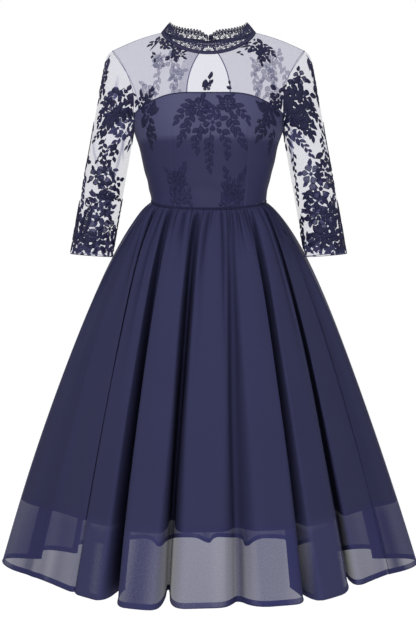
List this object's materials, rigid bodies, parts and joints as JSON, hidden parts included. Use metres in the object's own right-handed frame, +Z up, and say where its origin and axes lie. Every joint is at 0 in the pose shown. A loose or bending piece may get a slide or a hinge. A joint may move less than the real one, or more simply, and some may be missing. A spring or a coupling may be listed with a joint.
{
  "type": "cocktail dress",
  "caption": "Tea-length cocktail dress with a lace stand collar, sheer embroidered yoke and sleeves, a fitted bodice, a keyhole back and a fluted chiffon skirt.",
  "frame": {"origin": "middle of the neck opening, level with the shoulders at the neck", "axes": "+Z up, -Y the dress's front, +X the wearer's left"},
  "size_m": [0.859, 0.7381, 1.1142],
  "materials": {
    "bodice_satin": "soft sheen",
    "waist_cord": "soft sheen",
    "skirt_chiffon": "sheer, matt",
    "skirt_lining": "matt",
    "sheer_net": "open net, matt",
    "crochet_lace": "matt thread",
    "button_shell": "gloss",
    "zip_tape": "matt",
    "zip_metal": "lacquered"
  },
  "bodies": {
    "dress": {"bodice_front": "bodice_satin", "bodice_back_left": "bodice_satin", "bodice_back_right": "bodice_satin", "waist_band": "waist_cord", "skirt_front": "skirt_chiffon", "skirt_back_left": "skirt_chiffon", "skirt_back_right": "skirt_chiffon", "lining_front": "skirt_lining", "lining_back_left": "skirt_lining", "lining_back_right": "skirt_lining", "yoke_front": "sheer_net", "yoke_back_left": "sheer_net", "yoke_back_right": "sheer_net", "sleeve_left": "sheer_net", "sleeve_right": "sheer_net", "collar_front": "crochet_lace", "collar_back_left": "crochet_lace", "collar_back_right": "crochet_lace", "collar_loop": "crochet_lace", "collar_button": "button_shell", "zip_chain": "zip_tape", "zip_slider": "zip_metal"},
    "zip_pull": {"zip_pull": "zip_metal"}
  },
  "joints": [
    {"name": "pull_hinge", "type": "hinge", "parent": "dress", "child": "zip_pull", "pos_m": [0, 0.09854, -0.1826], "axis": [1, 0, 0], "range_deg": [0, 150]}
  ]
}
